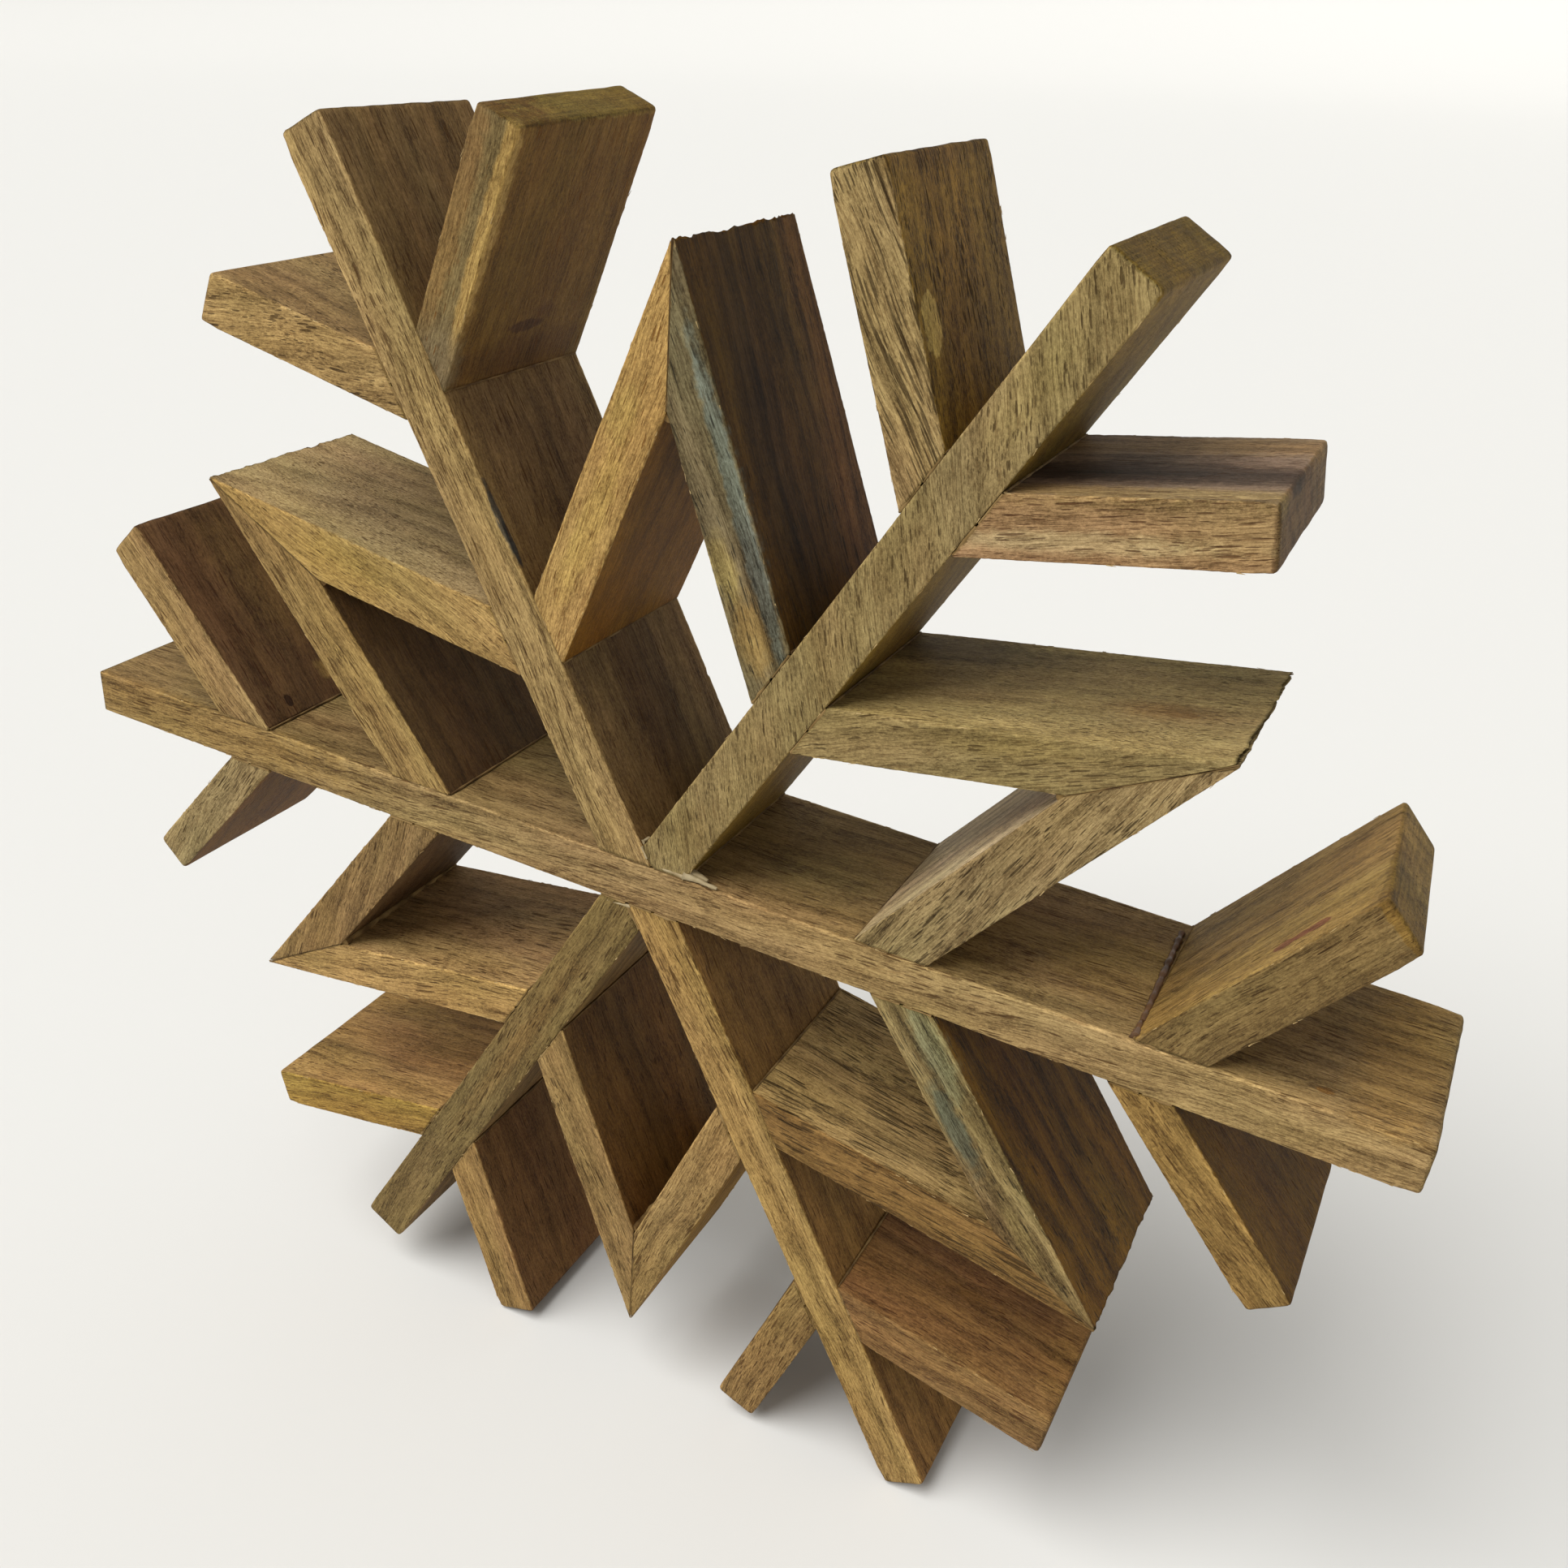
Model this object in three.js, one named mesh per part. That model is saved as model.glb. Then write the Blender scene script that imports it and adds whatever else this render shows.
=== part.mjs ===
// Snowflake ornament made of hardwood slats that stand on edge and are glued together.
// Millimetres, +Z up. The snowflake's face looks towards -Y and its back towards +Y.
// It is drawn flat first, arms radiating from (0, 0), and then stood up on its two lowest corners.

import * as THREE from 'three';

// Driving dimensions.
const DEPTH = 42.5; // front to back, the width of the stock that every slat is cut from
const THROUGH_THICKNESS = 10;
const GLUE_LINE = 0.3; // clear line between two glued faces
const BLANK = 400; // length of an uncut blank, longer than any slat

// Six arms, anticlockwise from the right. `reach` is from the centre to the end of the arm,
// `swing` how far the arm strays from its 60 degree step, and `shift` how far its centre line
// misses the centre, positive towards the anticlockwise side.
const ARMS = [
  { name: 'right', thickness: THROUGH_THICKNESS, reach: 150, swing: 0, shift: 0 },
  { name: 'upper_right', thickness: 10.5, reach: 150.5, swing: 0, shift: -0.6 },
  { name: 'upper_left', thickness: 10.5, reach: 152, swing: -0.3, shift: 0.9 },
  { name: 'left', thickness: THROUGH_THICKNESS, reach: 148, swing: 0, shift: 0 },
  { name: 'lower_left', thickness: 10.8, reach: 147.5, swing: 0.8, shift: -0.3 },
  { name: 'lower_right', thickness: 10, reach: 149.5, swing: -0.4, shift: -0.1 },
];
const ARM_STEP = 360 / ARMS.length;

// Cut lists of the branches. `seat` is the distance along the arm's centre line, `spread` the
// angle between the branch and the arm in degrees. One pair of entries per arm: the branch on the
// anticlockwise side, then the one on the clockwise side.
const INNER_BRANCHES = [
  [{ seat: 49.2, spread: 51, thickness: 11.5, wood: 'zebra' },
    { seat: 53.2, spread: 54, thickness: 10.4, wood: 'spalted' }],
  [{ seat: 53.3, spread: 52.5, thickness: 10.6, wood: 'spalted' },
    { seat: 50.4, spread: 51, thickness: 9.8, wood: 'olive' }],
  [{ seat: 49.9, spread: 52, thickness: 11.3, wood: 'tan' },
    { seat: 49.2, spread: 51, thickness: 10.5, wood: 'honey' }],
  [{ seat: 53, spread: 53.5, thickness: 10.5, wood: 'brown' },
    { seat: 50.4, spread: 51, thickness: 12, wood: 'tan' }],
  [{ seat: 49.1, spread: 51.5, thickness: 10.4, wood: 'brown' },
    { seat: 47.5, spread: 51.5, thickness: 10.4, wood: 'tan' }],
  [{ seat: 50.5, spread: 50.5, thickness: 10.4, wood: 'zebra' },
    { seat: 53.2, spread: 51.5, thickness: 10.4, wood: 'tan' }],
];
// `reach` here runs from the arm's centre line to the end of the branch. `skew` is how many degrees
// its end cut is out of square seen from the front, and `rake` how much further the end comes at
// the front than at the back.
const OUTER_BRANCHES = [
  [{ seat: 102, spread: 52, thickness: 10.4, reach: 52, skew: -9, rake: 4, wood: 'brown' },
    { seat: 98.2, spread: 49, thickness: 9, reach: 53.8, skew: 4, rake: 0, wood: 'tan' }],
  [{ seat: 99.7, spread: 50, thickness: 9.8, reach: 55.5, skew: 0, rake: 0, wood: 'zebra' },
    { seat: 100.8, spread: 49.5, thickness: 10.6, reach: 52.8, skew: 0, rake: 0.8, wood: 'red' }],
  [{ seat: 100.8, spread: 49.5, thickness: 10.4, reach: 53.3, skew: -11, rake: 0, wood: 'brown' },
    { seat: 101.5, spread: 49.5, thickness: 9, reach: 53.6, skew: 0, rake: -1.4, wood: 'honey' }],
  [{ seat: 98.6, spread: 49.5, thickness: 9, reach: 51.5, skew: -4, rake: 0, wood: 'olive' },
    { seat: 99.1, spread: 49.5, thickness: 10.8, reach: 54, skew: -5, rake: 0, wood: 'red' }],
  [{ seat: 99.1, spread: 49, thickness: 10.4, reach: 53, skew: 0, rake: 0, wood: 'brown' },
    { seat: 98.7, spread: 48.5, thickness: 9.2, reach: 55.5, skew: -4, rake: 0, wood: 'red' }],
  [{ seat: 99.2, spread: 49.5, thickness: 11, reach: 53, skew: 4, rake: 0, wood: 'red' },
    { seat: 96.7, spread: 49.5, thickness: 9.8, reach: 49.5, skew: 0, rake: 0, wood: 'tan' }],
];

// Colours of the boards that the slats come from: all one open-pored hardwood, oiled lightly.
const WOODS = {
  tan: '#9c7f50',
  honey: '#b08a4c',
  olive: '#857248',
  brown: '#7a5c38',
  red: '#80583a',
  zebra: '#8f7a4c',
  spalted: '#6f6a50',
};
const WOOD_ROUGHNESS = 0.72;

// --- Flat geometry -------------------------------------------------------------------------

function direction(degrees) {
  const turn = THREE.MathUtils.degToRad(degrees);
  return new THREE.Vector2(Math.cos(turn), Math.sin(turn));
}

function leftOf(heading) {
  return new THREE.Vector2(-heading.y, heading.x);
}

// A straight line through `point`, heading along `heading`.
function line(point, heading) {
  return { point, heading };
}

// The same line moved sideways to its left by `distance`.
function beside(base, distance) {
  return line(base.point.clone().addScaledVector(leftOf(base.heading), distance), base.heading);
}

function crossing(first, second) {
  const gap = second.point.clone().sub(first.point);
  const along = gap.cross(second.heading) / first.heading.cross(second.heading);
  return first.point.clone().addScaledVector(first.heading, along);
}

// How far a point lies to the left of a line.
function leftDistance(cut, point) {
  return leftOf(cut.heading).dot(point.clone().sub(cut.point));
}

// A blank strip of wood around its centre line, before its ends are cut.
function blank(centre, thickness) {
  const side = leftOf(centre.heading).multiplyScalar(thickness / 2);
  const far = centre.heading.clone().multiplyScalar(BLANK);
  const start = centre.point.clone().sub(far);
  const end = centre.point.clone().add(far);
  return [
    start.clone().sub(side),
    end.clone().sub(side),
    end.clone().add(side),
    start.clone().add(side),
  ];
}

// Saws an outline along a line and keeps what lies to the left of the cut.
function sawn(outline, cut) {
  const kept = [];
  outline.forEach((point, index) => {
    const next = outline[(index + 1) % outline.length];
    const here = leftDistance(cut, point);
    const there = leftDistance(cut, next);
    if (here >= 0) {
      kept.push(point);
    }
    if (here * there < 0) {
      kept.push(point.clone().lerp(next, here / (here - there)));
    }
  });
  return kept;
}

function reversed(cut) {
  return line(cut.point, cut.heading.clone().negate());
}

// --- Arms and branches ---------------------------------------------------------------------

function armLine(index) {
  const arm = ARMS[index];
  const heading = direction(index * ARM_STEP + arm.swing);
  return beside(line(new THREE.Vector2(), heading), arm.shift);
}

// The branch's centre line, heading away from its arm. side is 1 for anticlockwise, -1 for clockwise.
function branchLine(index, side, branch) {
  const arm = armLine(index);
  const seat = arm.point.clone().addScaledVector(arm.heading, branch.seat);
  const heading = direction(index * ARM_STEP + ARMS[index].swing + side * branch.spread);
  return line(seat, heading);
}

// The cut that seats a branch flat on the long face of its arm.
function seatCut(index, side) {
  const face = beside(armLine(index), side * (ARMS[index].thickness / 2 + GLUE_LINE));
  return side > 0 ? face : reversed(face);
}

// A square end cut, turned by `skew` degrees about the end of the centre line.
function endCut(centre, reach, skew = 0) {
  const point = centre.point.clone().addScaledVector(centre.heading, reach);
  const turn = THREE.MathUtils.degToRad(skew);
  return line(point, leftOf(centre.heading).rotateAround(new THREE.Vector2(), turn));
}

function throughSlatOutline() {
  const centre = armLine(0);
  const rightEnd = sawn(blank(centre, THROUGH_THICKNESS), endCut(centre, ARMS[0].reach));
  return sawn(rightEnd, endCut(line(centre.point, centre.heading.clone().negate()), ARMS[3].reach));
}

// An arm glued on the through slat. `neighbour` is the arm whose side face it also rests on.
function armOutline(index, neighbour = null) {
  const centre = armLine(index);
  const above = centre.heading.y > 0 ? 1 : -1;
  const slatFace = beside(armLine(0), above * (THROUGH_THICKNESS / 2 + GLUE_LINE));
  let outline = sawn(blank(centre, ARMS[index].thickness), endCut(centre, ARMS[index].reach));
  outline = sawn(outline, above > 0 ? slatFace : reversed(slatFace));
  if (neighbour !== null) {
    outline = sawn(outline, seatCut(neighbour, -1));
  }
  return outline;
}

function outerBranchOutline(index, side, branch) {
  const centre = branchLine(index, side, branch);
  const seated = sawn(blank(centre, branch.thickness), seatCut(index, side));
  return sawn(seated, endCut(centre, branch.reach, side * branch.skew));
}

// Inner branches of neighbouring arms meet in a mitre: the cut runs from the notch, where their
// inner faces cross, to the tip, where their outer faces cross.
function mitre(index) {
  const next = (index + 1) % ARMS.length;
  const first = INNER_BRANCHES[index][0];
  const second = INNER_BRANCHES[next][1];
  const firstLine = branchLine(index, 1, first);
  const secondLine = branchLine(next, -1, second);
  const notch = crossing(beside(firstLine, first.thickness / 2), beside(secondLine, -second.thickness / 2));
  const tip = crossing(beside(firstLine, -first.thickness / 2), beside(secondLine, second.thickness / 2));
  return line(notch, tip.sub(notch).normalize());
}

function innerBranchOutline(index, side, branch) {
  const centre = branchLine(index, side, branch);
  const seated = sawn(blank(centre, branch.thickness), seatCut(index, side));
  const joint = mitre(side > 0 ? index : (index + ARMS.length - 1) % ARMS.length);
  const face = side > 0 ? reversed(joint) : joint;
  return sawn(seated, beside(face, GLUE_LINE / 2));
}

// --- Solids --------------------------------------------------------------------------------

// Turns a flat outline into an upright slat: flat x stays x, flat y becomes z.
function slat(name, outline, wood) {
  const geometry = new THREE.ExtrudeGeometry(new THREE.Shape(outline), { depth: DEPTH, bevelEnabled: false });
  geometry.translate(0, 0, -DEPTH / 2);
  geometry.rotateX(Math.PI / 2);
  const material = new THREE.MeshStandardMaterial({
    color: WOODS[wood],
    roughness: WOOD_ROUGHNESS,
    metalness: 0,
  });
  const mesh = new THREE.Mesh(geometry, material);
  mesh.name = name;
  return mesh;
}

// Slides the free end of a branch along its own length, forwards at the front and back behind.
function rakeEnd(branchSlat, centre, branch) {
  const { position } = branchSlat.geometry.attributes;
  for (let index = 0; index < position.count; index += 1) {
    const point = new THREE.Vector2(position.getX(index), position.getZ(index));
    const along = point.clone().sub(centre.point).dot(centre.heading);
    if (along > branch.reach / 2) {
      point.addScaledVector(centre.heading, (-branch.rake * position.getY(index)) / DEPTH);
      position.setXYZ(index, point.x, position.getY(index), point.y);
    }
  }
  return branchSlat;
}

function innerBranch(name, index, side, branch) {
  return slat(name, innerBranchOutline(index, side, branch), branch.wood);
}

function outerBranch(name, index, side, branch) {
  const square = slat(name, outerBranchOutline(index, side, branch), branch.wood);
  return rakeEnd(square, branchLine(index, side, branch), branch);
}

// Lines everything up: the through slat, the four arms on it, and then each arm's branches.
function buildSlats() {
  const slats = [
    slat('through_slat', throughSlatOutline(), 'tan'),
    slat('upper_right_arm', armOutline(1, 2), 'olive'),
    slat('upper_left_arm', armOutline(2), 'tan'),
    slat('lower_left_arm', armOutline(4, 5), 'brown'),
    slat('lower_right_arm', armOutline(5), 'tan'),
  ];
  ARMS.forEach((arm, index) => {
    [1, -1].forEach((side, entry) => {
      const hand = side > 0 ? 'ccw' : 'cw';
      const place = `${arm.name}_${hand}`;
      slats.push(innerBranch(`inner_branch_${place}`, index, side, INNER_BRANCHES[index][entry]));
      slats.push(outerBranch(`outer_branch_${place}`, index, side, OUTER_BRANCHES[index][entry]));
    });
  });
  return slats;
}

// The snowflake stands on the lowest corner of the lower left arm's outer branch and on the lowest
// corner of the lower right arm. Levelling those two corners gives the small lean of the whole.
function standingLean() {
  const lowest = (outline) => outline.reduce((low, point) => (point.y < low.y ? point : low));
  const leftFoot = lowest(outerBranchOutline(4, 1, OUTER_BRANCHES[4][0]));
  const rightFoot = lowest(armOutline(5));
  return Math.atan2(rightFoot.y - leftFoot.y, rightFoot.x - leftFoot.x);
}

const leaning = new THREE.Group();
leaning.add(...buildSlats());
leaning.rotation.y = standingLean();

// The origin is on the surface that it stands on, below the middle of its box.
const snowflake = new THREE.Group();
snowflake.add(leaning);
snowflake.updateMatrixWorld(true);
const box = new THREE.Box3().setFromObject(snowflake, true);
leaning.position.set(-(box.min.x + box.max.x) / 2, 0, -box.min.z);

export default snowflake;
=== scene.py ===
import math
from collections import namedtuple
from functools import partial

import bpy
import numpy as np
from bpy.props import FloatProperty, FloatVectorProperty, IntProperty, PointerProperty
from mathutils import Matrix, Vector


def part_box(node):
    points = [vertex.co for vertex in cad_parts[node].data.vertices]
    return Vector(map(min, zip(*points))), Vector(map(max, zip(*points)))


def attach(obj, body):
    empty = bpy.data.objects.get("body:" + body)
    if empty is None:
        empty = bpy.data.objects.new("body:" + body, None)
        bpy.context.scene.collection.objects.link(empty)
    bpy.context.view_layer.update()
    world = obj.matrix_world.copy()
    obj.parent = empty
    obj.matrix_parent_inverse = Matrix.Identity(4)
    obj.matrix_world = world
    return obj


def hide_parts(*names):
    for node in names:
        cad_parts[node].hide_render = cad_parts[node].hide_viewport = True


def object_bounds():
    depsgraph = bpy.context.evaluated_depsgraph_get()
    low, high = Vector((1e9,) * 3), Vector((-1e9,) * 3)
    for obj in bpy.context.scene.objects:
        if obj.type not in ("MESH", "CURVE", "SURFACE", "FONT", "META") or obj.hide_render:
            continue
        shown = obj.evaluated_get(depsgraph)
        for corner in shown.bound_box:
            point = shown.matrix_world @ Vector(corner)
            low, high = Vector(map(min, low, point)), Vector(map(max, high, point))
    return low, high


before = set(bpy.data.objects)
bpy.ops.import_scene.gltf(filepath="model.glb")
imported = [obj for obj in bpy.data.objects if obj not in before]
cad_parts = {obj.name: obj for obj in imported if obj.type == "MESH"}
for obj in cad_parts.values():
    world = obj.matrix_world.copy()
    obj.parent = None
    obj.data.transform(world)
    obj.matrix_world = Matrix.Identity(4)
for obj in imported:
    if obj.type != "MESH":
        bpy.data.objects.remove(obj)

bl_info = {
    "name": "Glued Slat Snowflake",
    "version": (1, 0, 0),
    "blender": (4, 5, 0),
    "location": "3D View > Sidebar > Snowflake",
    "description": "Builds the worn hardwood slats, the glue and the studio of a wooden snowflake ornament",
    "category": "Object",
}

CAD_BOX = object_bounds()
MM = 0.001
BODY = "root"
THROUGH_SLAT = "through_slat"


def srgb(hex_colour, alpha=1.0):
    """Turns an sRGB hex value such as "9c7f50" into Blender's linear colour."""
    parts = [int(hex_colour[i:i + 2], 16) / 255 for i in (0, 2, 4)]
    linear = [c / 12.92 if c <= 0.04045 else ((c + 0.055) / 1.055) ** 2.4 for c in parts]
    return (*linear, alpha)


def add_node(tree, kind, inputs=(), **settings):
    """Adds a node, sets its settings, and links or sets its inputs: those in use in order, or by name.

    A node given as an input stands for its first output in use.
    """
    node = tree.nodes.new(kind)
    for name, value in settings.items():
        setattr(node, name, value)
    if isinstance(inputs, dict):
        pairs = [(node.inputs[name], value) for name, value in inputs.items()]
    else:
        pairs = list(zip([socket for socket in node.inputs if socket.enabled], inputs))
    for socket, value in pairs:
        if isinstance(value, bpy.types.Node):
            value = next(output for output in value.outputs if output.enabled)
        if isinstance(value, bpy.types.NodeSocket):
            tree.links.new(value, socket)
        else:
            socket.default_value = value
    return node



# --- Settings that a user would change --------------------------------------------------------


class SlatSettings(bpy.types.PropertyGroup):
    cell: FloatProperty(name="Cell", description="Length of the faces that a slat is meshed with",
                        default=0.7 * MM, min=0.4 * MM, unit="LENGTH")
    arris: FloatProperty(name="Arris radius", description="Mean rounding of the slats' long edges",
                         default=0.35 * MM, min=0.0, unit="LENGTH")
    wander: FloatProperty(name="Waviness", description="How far hand sawing strays from flat",
                          default=0.3 * MM, min=0.0, unit="LENGTH")
    chip: FloatProperty(name="Chips", description="Depth of the chips along the long edges",
                        default=0.9 * MM, min=0.0, unit="LENGTH")
    tear: FloatProperty(name="Torn tips", description="How far fibres are torn at the mitred tips",
                        default=1.1 * MM, min=0.0, unit="LENGTH")
    seed: IntProperty(name="Seed", description="Start of the random numbers for wear and grain", default=7)


def board_colour(name, description, colour):
    return FloatVectorProperty(name=name, description=description, subtype="COLOR", size=4,
                               default=srgb(colour))


class WoodSettings(bpy.types.PropertyGroup):
    tan: board_colour("Tan sapwood", "Palest board", "b3935a")
    honey: board_colour("Honey board", "Orange-yellow board", "c0954f")
    olive: board_colour("Olive board", "Greenish flecked board", "9c8754")
    brown: board_colour("Brown board", "Plain brown board", "967550")
    red: board_colour("Red board", "Reddish heartwood", "a5784f")
    zebra: board_colour("Zebra board", "Board with bold dark pores", "a98c58")
    spalted: board_colour("Spalted board", "Grey-green board", "8d8562")


class StageSettings(bpy.types.PropertyGroup):
    key_power: FloatProperty(name="Key light", description="Strength of the wide light from the upper left",
                             default=3.1, min=0.0)
    fill_power: FloatProperty(name="Fill light", description="Strength of the even light from all around",
                              default=0.4, min=0.0)
    floor_colour: FloatVectorProperty(name="Floor", description="Colour of the plain floor",
                                      subtype="COLOR", size=4, default=srgb("dddcd8"))
    lens: FloatProperty(name="Lens", description="Focal length in millimetres on a 36 mm sensor",
                        default=34.99, min=10.0)


# --- Reading the slats from the frame ---------------------------------------------------------

# One slat as its sawyer would see it, in metres: x along the grain from the root to the free end,
# y from front to back and z across the thickness. Root and end hold where each cut meets the low
# side (z negative), an inner corner and the high side; `corner` is the inner corner's z.
SlatShape = namedtuple("SlatShape", "place turn thickness depth root corner end rake length")


def outline_points(node, front):
    """The corners of a slat's outline at its front or back, as (x, z)."""
    corners = {tuple(round(c, 6) for c in v.co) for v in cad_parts[node].data.vertices}
    lowest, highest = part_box(node)
    wanted = lowest.y if front else highest.y
    return np.array([(x, z) for x, y, z in corners if abs(y - wanted) < 0.1 * MM])


def in_order(points):
    """The same points, anticlockwise around their middle."""
    away = points - points.mean(0)
    return points[np.argsort(np.arctan2(away[:, 1], away[:, 0]))]


def slat_shape(node, centre):
    """Works out a slat's own axes and its two end cuts from its CAD solid."""
    outline = in_order(outline_points(node, front=True))
    behind = in_order(outline_points(node, front=False))
    sides = np.roll(outline, -1, axis=0) - outline
    along = sides[np.argmax(np.linalg.norm(sides, axis=1))]
    along = along / np.linalg.norm(along)
    middle = outline.mean(0)
    if along @ (middle - centre) < 0 and node != THROUGH_SLAT or node == THROUGH_SLAT and along[0] < 0:
        along = -along
    across = np.array([-along[1], along[0]])
    flat = np.stack([outline @ along, outline @ across], 1)
    flat_behind = np.stack([behind @ along, behind @ across], 1)
    low, high = flat[:, 1].min(), flat[:, 1].max()
    start = flat[:, 0].min()
    zero = np.array([start, (low + high) / 2])
    flat, flat_behind = flat - zero, flat_behind - zero
    half = (high - low) / 2
    length = flat[:, 0].max()

    def at_side(points, side, pick):
        return pick(p[0] for p in points if abs(p[1] - side * half) < 0.05 * MM)

    inner = [p for p in flat if abs(p[1]) < half - 0.05 * MM]
    root = [at_side(flat, side, min) for side in (-1, 1)]
    end = [at_side(flat, side, max) for side in (-1, 1)]
    end_behind = [at_side(flat_behind, side, max) for side in (-1, 1)]
    corner = inner[0][1] if inner else 0.0
    corner_at = inner[0][0] if inner else sum(root) / 2
    lowest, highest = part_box(node)
    origin = zero[0] * along + zero[1] * across
    return SlatShape(
        place=Vector((origin[0], (lowest.y + highest.y) / 2, origin[1])),
        turn=math.atan2(along[1], along[0]),
        thickness=high - low,
        depth=highest.y - lowest.y,
        root=(root[0], corner_at, root[1]),
        corner=corner,
        end=[(a + b) / 2 for a, b in zip(end, end_behind)],
        rake=sum(end) / 2 - sum(end_behind) / 2,
        length=length,
    )


def snowflake_centre():
    """The middle of the through slat, where the six arms meet, as (x, z)."""
    lowest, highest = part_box(THROUGH_SLAT)
    return np.array([(lowest.x + highest.x) / 2, (lowest.z + highest.z) / 2])


# The kinds of node that the trees use most.
MATH = "ShaderNodeMath"
VECTORS = "ShaderNodeVectorMath"
POINT = "ShaderNodeCombineXYZ"
SPLIT = "ShaderNodeSeparateXYZ"
RANGE = "ShaderNodeMapRange"
NOISE = "ShaderNodeTexNoise"
MIX = "ShaderNodeMix"
MOVE = "GeometryNodeSetPosition"


def node_tree(name, kind, sockets_in, sockets_out):
    """An empty node group with named inputs and outputs, each a name and a type."""
    tree = bpy.data.node_groups.new(name, kind)
    for direction, sockets in (("INPUT", sockets_in), ("OUTPUT", sockets_out)):
        for socket_name, socket_type in sockets:
            tree.interface.new_socket(socket_name, in_out=direction, socket_type=socket_type)
    return tree


def finish_tree(tree, geometry, material):
    """Ends a tree with smooth shading, real geometry and a material."""
    smooth = add_node(tree, "GeometryNodeSetShadeSmooth", {"Geometry": geometry})
    real = add_node(tree, "GeometryNodeRealizeInstances", {"Geometry": smooth})
    done = add_node(tree, "GeometryNodeSetMaterial", {"Geometry": real, "Material": material})
    add_node(tree, "NodeGroupOutput", {"Geometry": done})


# The wear on a slat: how each noise is stretched, then its scale, detail and roughness.
WEAR_NOISES = (
    ((0.5, 1.0, 1.0), 0.045, 1.0, 0.5),  # the slow sway of a hand-held saw
    ((0.4, 1.0, 1.0), 0.35, 4.0, 0.7),  # chips
    ((0.8, 1.0, 1.0), 1.4, 3.0, 0.7),  # fraying
    ((0.05, 1.0, 0.35), 0.16, 8.0, 0.8),  # torn fibres
)


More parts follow.
